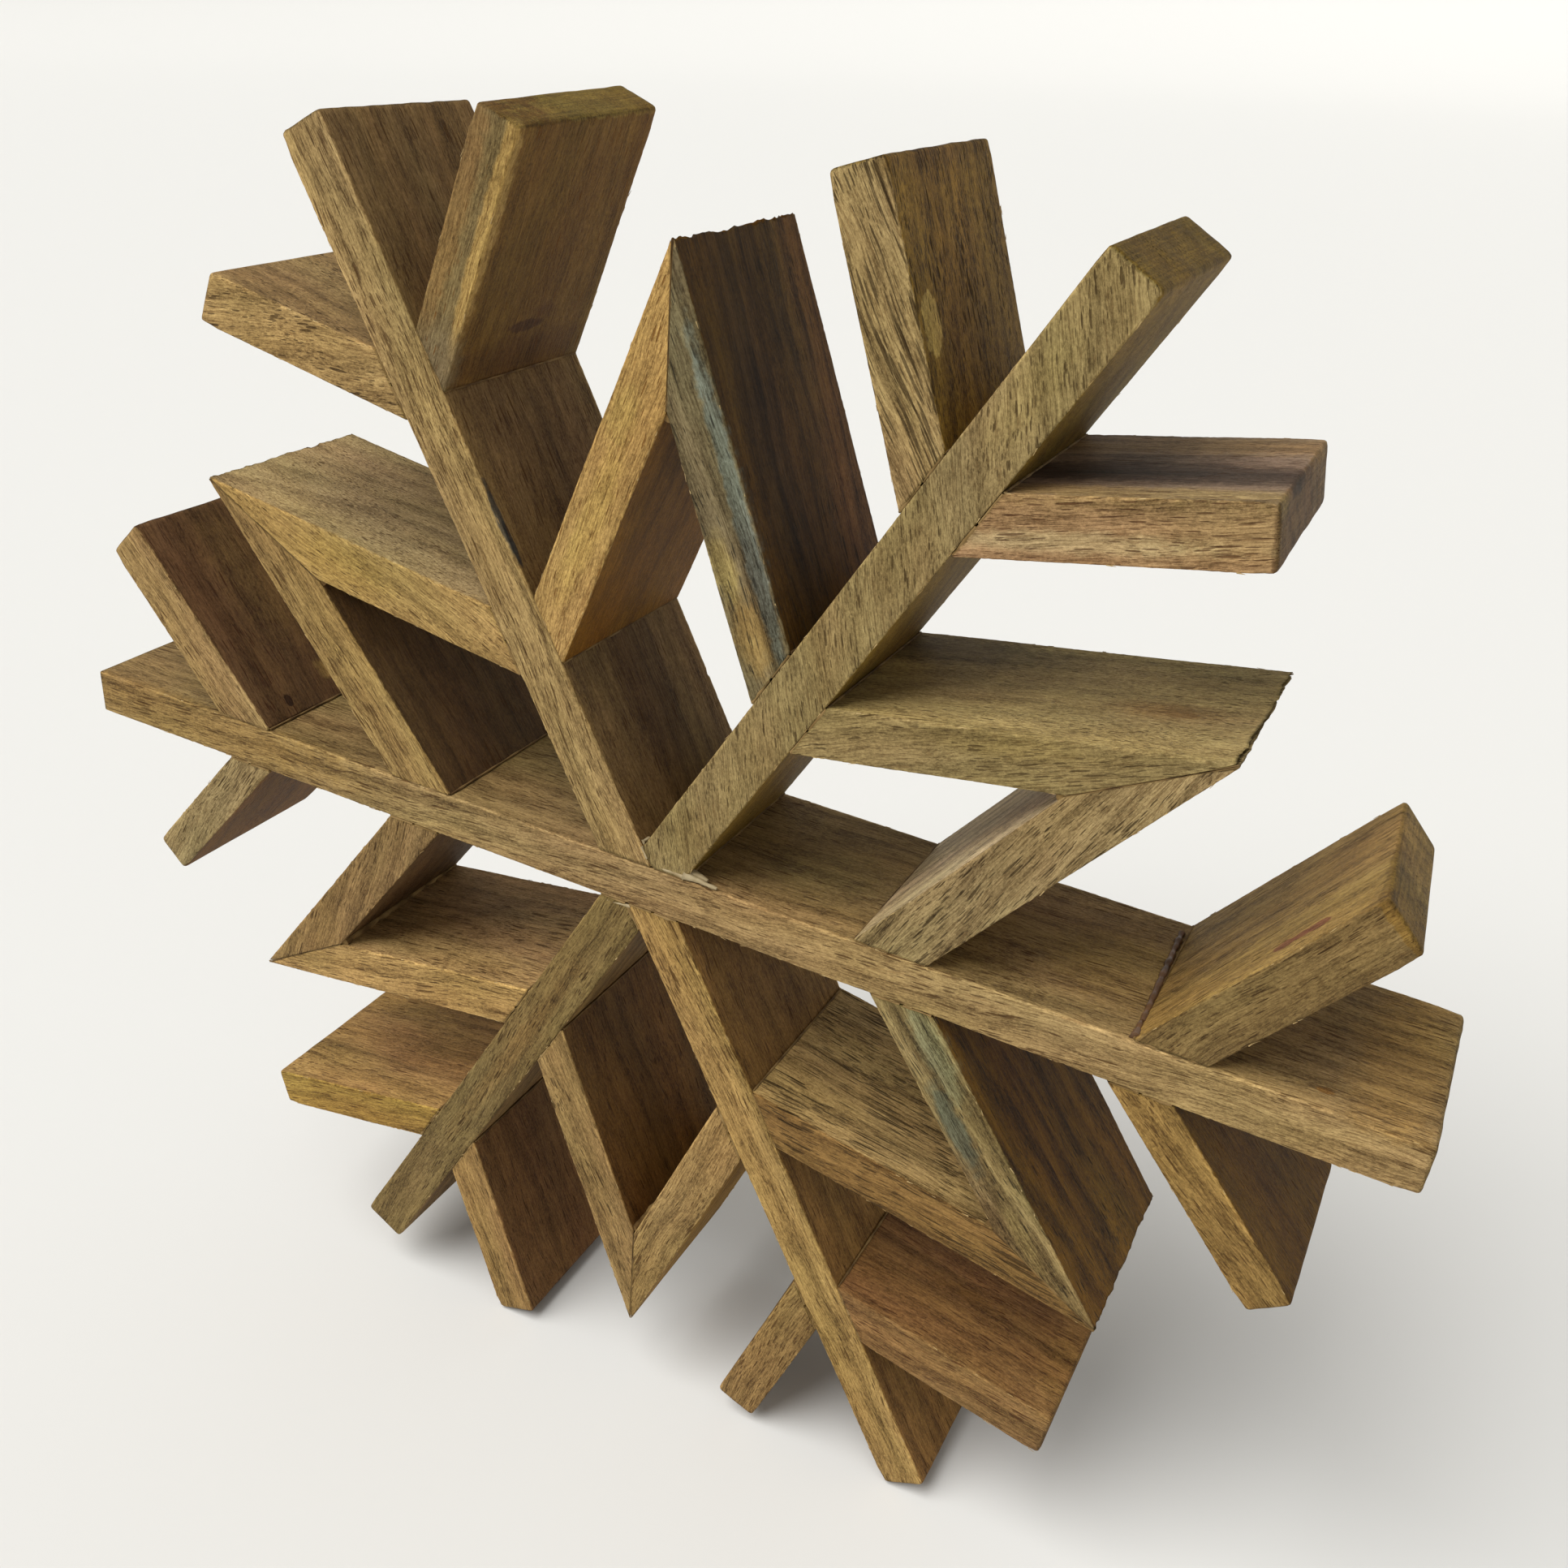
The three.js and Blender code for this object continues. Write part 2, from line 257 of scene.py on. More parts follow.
def worn_slat_tree():
    """A slat: a meshed block, its long edges rounded unevenly, its ends cut, its surface worn."""
    number, vector = "NodeSocketFloat", "NodeSocketVector"
    tree = node_tree("Worn slat", "GeometryNodeTree", [
        ("Length", number), ("Depth", number), ("Thickness", number),
        ("Cell along", number), ("Cell deep", number),
        ("Root low", number), ("Root corner", number), ("Root high", number), ("Corner", number),
        ("End low", number), ("End high", number), ("End rake", number),
        ("Arris radius", number), ("End radius", number), ("Waviness", number), ("Chips", number),
        ("Torn tip", number), ("Seed", number), ("Place", vector), ("Turn", vector),
        ("Wood", "NodeSocketMaterial"),
    ], [("Geometry", "NodeSocketGeometry")])
    add = partial(add_node, tree)
    given = add("NodeGroupInput").outputs
    here = add("GeometryNodeInputPosition")

    counts = []
    for span, cell, spare in ((given["Length"], given["Cell along"], 3.0),
                              (given["Depth"], given["Cell deep"], 7.0),
                              (given["Thickness"], CELL_ACROSS, 5.0)):
        cells = add(MATH, [span, cell], operation="DIVIDE")
        counts.append(add(MATH, [cells, spare], operation="ADD"))
    block = add("GeometryNodeMeshCube", [(1.0, 1.0, 1.0), *counts])

    # Crowd the loops towards the long edges, then give the block its size.
    x, y, z = add(SPLIT, [here]).outputs
    crowded = []
    for side in (y, z):
        even = add(MATH, [side, 0.2], operation="MULTIPLY")
        wave = add(MATH, [add(MATH, [side, math.pi], operation="MULTIPLY")], operation="SINE")
        wave = add(MATH, [wave, 0.4], operation="MULTIPLY")
        crowded.append(add(MATH, [even, wave], operation="ADD"))
    size = add(POINT, [given["Length"], given["Depth"], given["Thickness"]])
    sized = add(VECTORS, [add(POINT, [x, *crowded]), size], operation="MULTIPLY")
    block = add(MOVE, {"Geometry": block, "Position": sized})

    # How far each point is from the long edges, and whether it is on an end.
    half = add(VECTORS, [size, (0.5, 0.5, 0.5)], operation="MULTIPLY")
    reach = add(VECTORS, [here], operation="ABSOLUTE")
    inside = add(SPLIT, [add(VECTORS, [half, reach], operation="SUBTRACT")]).outputs
    from_sides = add(MATH, [inside[1], inside[2]], operation="ADD")
    from_arris = add(MATH, [from_sides, MM], operation="DIVIDE")
    on_end = add(RANGE, [inside[0], 0.0, 0.02 * MM, 1.0, 0.0])
    for name, value in (("from_arris", from_arris), ("on_end", on_end)):
        block = add("GeometryNodeStoreNamedAttribute", {
            "Geometry": block, "Name": name, "Value": value,
        }, data_type="FLOAT", domain="POINT")

    # Round the long edges by a radius that wanders, and the free end by its own.
    in_mm = add(VECTORS, [here, (1 / MM, 1 / MM, 1 / MM)], operation="MULTIPLY")
    drawn = add(VECTORS, [in_mm, (0.35, 1.0, 1.0)], operation="MULTIPLY")
    worn = add(NOISE, [drawn, given["Seed"], 0.1, 1.0, 0.5], noise_dimensions="4D")
    worn = add(RANGE, [worn, 0.3, 0.75, 0.5, 1.6], interpolation_type="SMOOTHSTEP")
    x, y, z = add(SPLIT, [here]).outputs
    half_x, half_y, half_z = add(SPLIT, [half]).outputs
    starts, stops = [add(MATH, [half_x, before], operation="SUBTRACT") for before in (7 * MM, 1 * MM)]
    at_end = add(RANGE, [x, starts, stops, 0.0, 1.0], interpolation_type="SMOOTHSTEP")
    long_radius = add(MATH, [worn, given["Arris radius"]], operation="MULTIPLY")
    end_radius = add(MATH, [at_end, given["End radius"]], operation="MULTIPLY")
    radius = add(MATH, [long_radius, end_radius], operation="MAXIMUM")
    stop = add(MATH, [half_x, given["End radius"]], operation="SUBTRACT")
    core = [add(MATH, [x, stop], operation="MINIMUM")]
    for side, outer in ((y, half_y), (z, half_z)):
        sign = add(MATH, [side], operation="SIGN")
        stop = add(MATH, [outer, radius], operation="SUBTRACT")
        kept = add(MATH, [add(MATH, [side], operation="ABSOLUTE"), stop], operation="MINIMUM")
        core.append(add(MATH, [sign, kept], operation="MULTIPLY"))
    core = add(POINT, core)
    outwards = add(VECTORS, [add(VECTORS, [here, core], operation="SUBTRACT")], operation="NORMALIZE")
    outwards = add(VECTORS, [outwards, add(POINT, [radius] * 3)], operation="MULTIPLY")
    rounded = add(VECTORS, [core, outwards], operation="ADD")
    block = add(MOVE, {"Geometry": block, "Position": rounded})

    # Shear the block so that its ends follow the saw cuts.
    x, y, z = add(SPLIT, [here]).outputs
    share = add(MATH, [add(MATH, [x, given["Length"]], operation="DIVIDE"), 0.5], operation="ADD")
    low_z, high_z = [add(MATH, [given["Thickness"], side], operation="MULTIPLY") for side in (-0.5, 0.5)]
    low_part = add(RANGE, [z, low_z, given["Corner"], given["Root low"], given["Root corner"]])
    high_part = add(RANGE, [z, given["Corner"], high_z, given["Root corner"], given["Root high"]])
    above = add(MATH, [z, given["Corner"]], operation="GREATER_THAN")
    root_at = add(MIX, [above, low_part, high_part])
    end_at = add(RANGE, [z, low_z, high_z, given["End low"], given["End high"]])
    deep = add(MATH, [y, given["Depth"]], operation="DIVIDE")
    raked = add(MATH, [given["End rake"], deep], operation="MULTIPLY")
    end_at = add(MATH, [end_at, raked], operation="SUBTRACT")
    new_x = add(MIX, [share, root_at, end_at], clamp_factor=False)
    block = add(MOVE, {"Geometry": block, "Position": add(POINT, [new_x, y, z])})

    # Wear: slow waviness, chips along the long edges, and fibres torn out at the far tip.
    x, y, z = add(SPLIT, [here]).outputs
    in_mm = add(VECTORS, [here, (1 / MM, 1 / MM, 1 / MM)], operation="MULTIPLY")
    wear = []
    for stretch, *pattern in WEAR_NOISES:
        drawn = add(VECTORS, [in_mm, stretch], operation="MULTIPLY")
        wear.append(add(NOISE, [drawn, given["Seed"], *pattern], noise_dimensions="4D").outputs)
    slow, chips, frays, tears = wear
    sway = add(VECTORS, [slow[1], (0.5, 0.5, 0.5)], operation="SUBTRACT")
    less = add(MATH, [given["Waviness"], 0.4], operation="MULTIPLY")
    sway = add(VECTORS, [sway, add(POINT, [0.0, less, given["Waviness"]])], operation="MULTIPLY")
    arris = add("GeometryNodeInputNamedAttribute", {"Name": "from_arris"}, data_type="FLOAT")
    near_edge = add(RANGE, [arris, 0.0, 1.6, 1.0, 0.0], interpolation_type="SMOOTHSTEP")
    chipped = add(RANGE, [chips[0], 0.6, 0.82, 0.0, 1.0], interpolation_type="SMOOTHSTEP")
    frayed = add(MATH, [add(MATH, [frays[0], 0.5], operation="SUBTRACT"), 0.35], operation="MULTIPLY")
    bite = add(MATH, [add(MATH, [chipped, frayed], operation="ADD"), given["Chips"]], operation="MULTIPLY")
    bite = add(MATH, [near_edge, bite], operation="MULTIPLY")
    inwards = []
    for side in (y, z):
        sign = add(MATH, [side], operation="SIGN")
        sunk = add(MATH, [bite, -0.6], operation="MULTIPLY")
        inwards.append(add(MATH, [sign, sunk], operation="MULTIPLY"))
    tip_starts = add(MATH, [given["Length"], 5 * MM], operation="SUBTRACT")
    at_tip = add(RANGE, [x, tip_starts, given["Length"], 0.0, 1.0], interpolation_type="SMOOTHSTEP")
    torn = add(MATH, [add(MATH, [tears[0], 0.6], operation="SUBTRACT"), 4.5], operation="MULTIPLY")
    depth = add(MATH, [at_tip, given["Torn tip"]], operation="MULTIPLY")
    ragged = add(MATH, [torn, depth], operation="MULTIPLY")
    moves = add(VECTORS, [sway, add(POINT, [0.0, *inwards])], operation="ADD")
    moves = add(VECTORS, [moves, add(POINT, [ragged, 0.0, 0.0])], operation="ADD")
    block = add(MOVE, {"Geometry": block, "Offset": moves})

    # Put the slat in its place, turned about the front-to-back axis.
    placed = add("GeometryNodeTransform", {
        "Geometry": block, "Translation": given["Place"], "Rotation": given["Turn"],
    })
    finish_tree(tree, placed, given["Wood"])


def dried_glue_tree():
    """Beads of glue along every edge of a mesh of lines, as thick as its points say, lumpy and uneven."""
    tree = node_tree("Dried glue", "GeometryNodeTree", [
        ("Lines", "NodeSocketGeometry"), ("Step", "NodeSocketFloat"), ("Unevenness", "NodeSocketFloat"),
        ("Glue", "NodeSocketMaterial"),
    ], [("Geometry", "NodeSocketGeometry")])
    add = partial(add_node, tree)
    given = add("NodeGroupInput").outputs
    thick = add("GeometryNodeInputNamedAttribute", {"Name": "thick"}, data_type="FLOAT")
    lines = add("GeometryNodeMeshToCurve", {"Mesh": given["Lines"]})
    lines = add("GeometryNodeResampleCurve", {"Curve": lines, "Length": given["Step"]}, mode="LENGTH")
    lumps = add(NOISE, {"Scale": 420.0, "Detail": 3.0}).outputs
    uneven = add(RANGE, [lumps[0], 0.3, 0.7, 0.55, 1.5])
    radius = add(MATH, [thick, uneven], operation="MULTIPLY")
    lines = add("GeometryNodeSetCurveRadius", {"Curve": lines, "Radius": radius})
    ring = add("GeometryNodeCurvePrimitiveCircle", {"Resolution": 8, "Radius": 1.0}, mode="RADIUS")
    beads = add("GeometryNodeCurveToMesh", {
        "Curve": lines, "Profile Curve": ring, "Fill Caps": True, "Scale": radius,
    })
    push = add(VECTORS, [lumps[1], (0.5, 0.5, 0.5)], operation="SUBTRACT")
    push = add(VECTORS, [push, given["Unevenness"]], operation="SCALE")
    beads = add(MOVE, {"Geometry": beads, "Offset": push})
    finish_tree(tree, beads, given["Glue"])


def grown(name, tree, values, base=None):
    """Runs a Geometry Nodes tree with these inputs and returns the result as a plain mesh object."""
    holder = bpy.data.objects.new(name + "_holder", base or bpy.data.meshes.new(name + "_holder"))
    bpy.context.scene.collection.objects.link(holder)
    modifier = holder.modifiers.new("Build", "NODES")
    modifier.node_group = tree
    for item in tree.interface.items_tree:
        if item.in_out == "INPUT" and item.name in values:
            modifier[item.identifier] = values[item.name]
    depsgraph = bpy.context.evaluated_depsgraph_get()
    mesh = bpy.data.meshes.new_from_object(
        holder.evaluated_get(depsgraph), preserve_all_data_layers=True, depsgraph=depsgraph)
    mesh.name = name
    holder.modifiers.remove(modifier)
    bpy.data.objects.remove(holder)
    piece = bpy.data.objects.new(name, mesh)
    bpy.context.scene.collection.objects.link(piece)
    return piece


# --- Wood -------------------------------------------------------------------------------------

# What sets one board apart: how strong its growth bands, its long streaks, its vessel dashes and
# its drifts of hue are, and the colour of the vessels' open mouths.
Board = namedtuple("Board", "bands streaks pores drift pore")
BOARDS = {
    "tan": Board(0.5, 0.5, 0.95, 0.35, "4e3317"),
    "honey": Board(0.3, 0.4, 0.6, 0.45, "6e4415"),
    "olive": Board(0.35, 0.4, 1.0, 0.35, "46341a"),
    "brown": Board(0.5, 0.6, 0.85, 0.35, "3c2710"),
    "red": Board(0.5, 0.7, 0.8, 0.5, "4c2a14"),
    "zebra": Board(0.8, 0.5, 1.2, 0.35, "33240f"),
    "spalted": Board(0.7, 1.0, 0.8, 0.6, "26231a"),
}

def sawn_tree():
    """The slat's plain colour: its front and back edges were sanded and are paler; its broad faces are
    darker, partly their own colour and partly painted shade.
    """
    tree = node_tree("Sanded edges and shaded faces", "ShaderNodeTree", [
        ("Slat", "NodeSocketVector"), ("Half depth", "NodeSocketFloat"),
        ("Edge", "NodeSocketColor"), ("Face", "NodeSocketColor"),
    ], [("Colour", "NodeSocketColor")])
    add = partial(add_node, tree)
    given = add("NodeGroupInput").outputs
    depth_at = add(SPLIT, [given["Slat"]]).outputs[1]
    from_middle = add(MATH, [depth_at], operation="ABSOLUTE")
    from_front = add(MATH, [given["Half depth"], from_middle], operation="SUBTRACT")
    ragged = add(NOISE, {"Vector": given["Slat"], "Scale": 0.8, "Detail": 3.0})
    line = add(MATH, [ragged, -0.9, from_front], operation="MULTIPLY_ADD")
    face = add(RANGE, [line, -0.3, 0.15], interpolation_type="SMOOTHSTEP")
    colour = add(MIX, [face, given["Edge"], given["Face"]], data_type="RGBA")
    add("NodeGroupOutput", {"Colour": colour})


# The pith that the growth bands curve around, from the slat's own root, and the bands' distance.
PITH = (0.0, 31.0, 23.0)
BAND_GAP = 4.6


def hardwood_tree():
    """Open-pored hardwood in the slat's own millimetres: x along the grain, y and z across it."""
    number, vector, shade = "NodeSocketFloat", "NodeSocketVector", "NodeSocketColor"
    tree = node_tree("Open-pored hardwood", "ShaderNodeTree", [
        ("Colour", shade), ("Slat", vector), ("Grain", vector), ("Pore", shade), ("Bands", number),
        ("Streaks", number), ("Pores", number), ("Drift", number), ("Dash", number),
    ], [("Colour", shade), ("Roughness", number), ("Height", number)])
    add = partial(add_node, tree)
    given = add("NodeGroupInput").outputs

    def pattern(where, stretch, detail=2.0, roughness=0.5):
        """Cloudy noise, stretched by these factors of a millimetre along, through and across."""
        drawn = add(VECTORS, [where, stretch], operation="MULTIPLY")
        return add(NOISE, [drawn, 1.0, detail, roughness]).outputs

    # The fibres wander a little, so straight streaks bend by a millimetre or two.
    bend = pattern(given["Grain"], (0.022, 0.05, 0.05), 2.5)[1]
    bent = add(VECTORS, [bend, (0.0, 6.0, 6.0), given["Grain"]], operation="MULTIPLY_ADD")

    # Growth bands a few millimetres apart around a pith that lies outside the slat.
    across = add(VECTORS, [bent, (0.0, 1.0, 1.0), PITH], operation="MULTIPLY_ADD")
    from_pith = add(VECTORS, [across], operation="LENGTH")
    ring = add(MATH, [add(MATH, [from_pith, BAND_GAP], operation="DIVIDE")], operation="FRACT")
    darkens = add(RANGE, [ring, 0.35, 0.9, 0.0, 1.0], interpolation_type="SMOOTHSTEP")
    clears = add(RANGE, [ring, 0.9, 1.0, 1.0, 0.0], interpolation_type="SMOOTHSTEP")
    band = add(MATH, [darkens, clears], operation="MULTIPLY")

    # Long streaks a few millimetres wide, cloudy patches, fibres and the tooth left by coarse sanding.
    broad = pattern(bent, (0.012, 0.26, 0.26), 4.0, 0.65)[0]
    broad = add(RANGE, [broad, 0.34, 0.66, -0.5, 0.5], interpolation_type="SMOOTHSTEP")
    cloud = pattern(given["Slat"], (0.09, 0.14, 0.14), 3.0, 0.55)[0]
    fibre = pattern(bent, (0.14, 2.1, 2.1), 4.0, 0.75)[0]
    tooth = pattern(bent, (1.3, 2.3, 2.3), 3.0, 0.85)[0]
    streaks = add(MATH, [given["Streaks"], 0.6], operation="MULTIPLY")
    bands = add(MATH, [given["Bands"], 0.45], operation="MULTIPLY")
    streaks = add(MATH, [broad, streaks], operation="MULTIPLY")
    shade = add(MATH, [1.0, streaks], operation="SUBTRACT")
    for mask, middle, strength in ((cloud, 0.5, 0.8), (fibre, 0.5, 1.4), (tooth, 0.5, 1.9),
                                   (band, 0.3, bands)):
        change = add(MATH, [mask, middle], operation="SUBTRACT")
        change = add(MATH, [change, strength], operation="MULTIPLY")
        shade = add(MATH, [shade, change], operation="SUBTRACT")
    shade = add(MATH, [shade, 0.15], operation="MAXIMUM")
    green, blue = [add(MATH, [shade, power], operation="POWER") for power in (1.08, 1.2)]
    base = add(VECTORS, [given["Colour"], add(POINT, [shade, green, blue])], operation="MULTIPLY")

    # Hue drifts between yellow, green-grey and pink over a few centimetres.
    hue = pattern(bent, (0.02, 0.07, 0.07))[1]
    cast = add(VECTORS, [hue, (0.9, 0.7, 1.3), (0.55, 0.65, 0.35)], operation="MULTIPLY_ADD")
    drift = add(MATH, [given["Drift"], 0.6], operation="MULTIPLY")
    base = add(MIX, [drift, base, cast], data_type="RGBA", blend_type="MULTIPLY")

    # Vessels: dashes 1 to 5 mm long and 0.2 to 0.4 mm wide, shorter hair-fine ones, and dark hairs.
    crowd = pattern(bent, (0.03, 0.12, 0.12))[0]
    crowd = add(RANGE, [crowd, 0.3, 0.65, 0.45, 1.05], interpolation_type="SMOOTHSTEP")
    boldness = add(MATH, [crowd, given["Pores"]], operation="MULTIPLY")
    along = add(MATH, [1.0, given["Dash"]], operation="DIVIDE")
    shortened = add(VECTORS, [bent, add(POINT, [along, 1.0, 1.0])], operation="MULTIPLY")

    def dashes(length, width, thin, fat):
        """Ellipsoids scattered one to a cell this long and wide, from thin to fat as shares of it."""
        stretch = (1 / length, 1 / width, 1 / width)
        drawn = add(VECTORS, [shortened, stretch], operation="MULTIPLY")
        cells = add("ShaderNodeTexVoronoi", {"Vector": drawn, "Scale": 1.0, "Randomness": 1.0}).outputs
        pick = add("ShaderNodeSeparateColor", [cells["Color"]])
        reach = add(MATH, [pick, fat - thin, thin], operation="MULTIPLY_ADD")
        reach = add(MATH, [boldness, reach], operation="MULTIPLY")
        full = add(MATH, [reach, 0.75], operation="MULTIPLY")
        outside = add(RANGE, [cells["Distance"], full, reach, 0.0, 1.0],
                      interpolation_type="SMOOTHSTEP")
        return add(MATH, [1.0, outside], operation="SUBTRACT")

    pore = dashes(10.5, 0.8, 0.12, 0.36)
    fine_pore = dashes(5.5, 0.42, 0.16, 0.44)
    hair = pattern(bent, (0.16, 4.0, 4.0), 3.0, 0.7)[0]
    hair = add(RANGE, [hair, 0.52, 0.62, 0.0, 1.0], interpolation_type="SMOOTHSTEP")
    dark = add(MIX, [1.0, base, srgb("a88c6c")], data_type="RGBA", blend_type="MULTIPLY")
    for mask, strength, stain in ((hair, 0.45, dark), (fine_pore, 0.7, given["Pore"]),
                                  (pore, 0.75, given["Pore"])):
        amount = add(MATH, [mask, strength], operation="MULTIPLY")
        base = add(MIX, [amount, base, stain], data_type="RGBA")

    # End grain drinks finish and looks greyer; near the arrises a broken pale line is painted, part rubbed
    # wear and part painted highlight.
    on_end = add("ShaderNodeAttribute", attribute_name="on_end").outputs["Fac"]
    saw_lines = pattern(given["Slat"], (0.4, 0.05, 1.8), 3.0, 0.7)[0]
    saw_lines = add(RANGE, [saw_lines, 0.35, 0.65, 0.75, 1.15], interpolation_type="SMOOTHSTEP")
    base = add(MIX, [on_end, base, srgb("dcdccc")], data_type="RGBA", blend_type="MULTIPLY")
    scored = add(VECTORS, [base, saw_lines], operation="SCALE")
    base = add(MIX, [on_end, base, scored], data_type="RGBA")
    arris = add("ShaderNodeAttribute", attribute_name="from_arris").outputs["Fac"]
    near_edge = add(RANGE, [arris, 0.2, 0.7, 1.0, 0.0], interpolation_type="SMOOTHSTEP")
    patchy = pattern(given["Slat"], (0.18, 0.3, 0.3), 4.0, 0.6)[0]
    patchy = add(RANGE, [patchy, 0.45, 0.56, 0.0, 1.0], interpolation_type="SMOOTHSTEP")
    wear_and_highlight = add(MATH, [near_edge, patchy], operation="MULTIPLY")
    wear_and_highlight = add(MATH, [wear_and_highlight, 0.5], operation="MULTIPLY")
    # The pale arris line: painted highlight as well as rubbed wear.
    lighter = add(VECTORS, [base, 1.7], operation="SCALE")
    base = add(MIX, [wear_and_highlight, base, lighter], data_type="RGBA")

    rough = add(MATH, [0.55, add(MATH, [fibre, 0.2], operation="MULTIPLY")], operation="ADD")
    open_mouths = add(MATH, [pore, 0.2], operation="MULTIPLY")
    rough = add(MATH, [rough, open_mouths], operation="ADD", use_clamp=True)
    fibre_height, tooth_height = [
        add(MATH, [mask, strength], operation="MULTIPLY") for mask, strength in ((fibre, 0.5), (tooth, 0.45))]
    height = add(MATH, [fibre_height, tooth_height], operation="ADD")
    for mask, depth in ((pore, 0.9), (fine_pore, 0.5), (hair, 0.25)):
        dip = add(MATH, [mask, depth], operation="MULTIPLY")
        height = add(MATH, [height, dip], operation="SUBTRACT")
    add("NodeGroupOutput", {"Colour": base, "Roughness": rough, "Height": height})


def mark_tree():
    """A stain, knot, pale patch or smudge: a ragged oval of another colour in the slat's millimetres."""
    tree = node_tree("Mark", "ShaderNodeTree", [
        ("Colour", "NodeSocketColor"), ("Slat", "NodeSocketVector"), ("Middle", "NodeSocketVector"),
        ("Radii", "NodeSocketVector"), ("Stain", "NodeSocketColor"), ("Strength", "NodeSocketFloat"),
        ("Soft", "NodeSocketFloat"),
    ], [("Colour", "NodeSocketColor")])
    add = partial(add_node, tree)
    given = add("NodeGroupInput").outputs
    away = add(VECTORS, [given["Slat"], given["Middle"]], operation="SUBTRACT")
    far = add(VECTORS, [add(VECTORS, [away, given["Radii"]], operation="DIVIDE")], operation="LENGTH")
    ragged = add(NOISE, {"Vector": given["Slat"], "Scale": 0.5, "Detail": 3.0})
    edge = add(MATH, [ragged, 0.9, far], operation="MULTIPLY_ADD")
    starts = add(MATH, [given["Soft"], -0.9, 1.4], operation="MULTIPLY_ADD")
    ends = add(MATH, [given["Soft"], 0.3, 1.5], operation="MULTIPLY_ADD")
    mask = add(RANGE, [edge, starts, ends, 1.0, 0.0], interpolation_type="SMOOTHSTEP")
    amount = add(MATH, [mask, given["Strength"]], operation="MULTIPLY")
    stained = add(MIX, [amount, given["Colour"], given["Stain"]], data_type="RGBA")
    add("NodeGroupOutput", {"Colour": stained})


# A mark on a slat, in its millimetres: its middle and radii along the slat, from front to back and
# across, then its colour, its strength and how soft its rim is, from 0 to 1.
Mark = namedtuple("Mark", "middle radii colour strength soft", defaults=(0.6,))

# How each slat was sawn from its board: the colour of its sanded edges and of its broad faces, which
# also holds painted shade, how far the grain runs off the slat's own direction in degrees, seen from
# the front (`tilt`) and on the broad faces (`slope`), how bold its vessels and streaks are against its
# board's, and marks.
Cut = namedtuple("Cut", "board edge face tilt slope pores streaks dash marks")


def cut(board, edge, face, tilt=0.0, slope=0.0, pores=1.0, streaks=1.0, dash=1.0, marks=()):
    return Cut(board, edge, face, tilt, slope, pores, streaks, dash, marks)


ARM_CUTS = {
    "through_slat": cut("tan", "987e51", "8a7146", 3, 1, pores=1.0, marks=(
        Mark((279, -16, 5), (1.6, 0.9, 2), "916b35", 1.0, 0.2),
        Mark((240, 0, 5), (16, 14, 3), "907540", 0.7),
        Mark((180, -3, 5), (14, 12, 3), "816b3d", 0.7),
        Mark((290, 2, 5), (9, 30, 3), "9c7b43", 0.7),
        Mark((30, -21, 0), (50, 3, 9), "92743f", 0.7),
    )),
    "upper_left_arm": cut("tan", "997f51", "7a6039", -1, 2, marks=(
        Mark((72, -20.6, -5.3), (9, 0.9, 0.8), "3e3a34", 0.9, 0.3),
        Mark((67, -20.2, -5.3), (5, 0.7, 0.8), "33312e", 0.9, 0.2),
        Mark((30, 0, -5), (30, 9, 3), "5d4324", 0.7),
    )),
    "upper_right_arm": cut("olive", "8c784d", "785e24", 42, -3, pores=0.85, dash=0.6, marks=(
        Mark((120, -21, 1), (12, 3, 4), "907c4d", 0.7),
        Mark((85, -21, 0), (10, 3, 6), "887247", 0.6),
        Mark((12, -21, 0), (9, 3, 6), "836e42", 0.7),
    )),
    "lower_left_arm": cut("brown", "78643b", "81653c", 4, 2, marks=(
        Mark((60, -21, 0), (40, 3, 2.4), "7c6338", 0.8),
    )),
    "lower_right_arm": cut("tan", "9d7f4a", "7e5c2e", 2, 0),
}
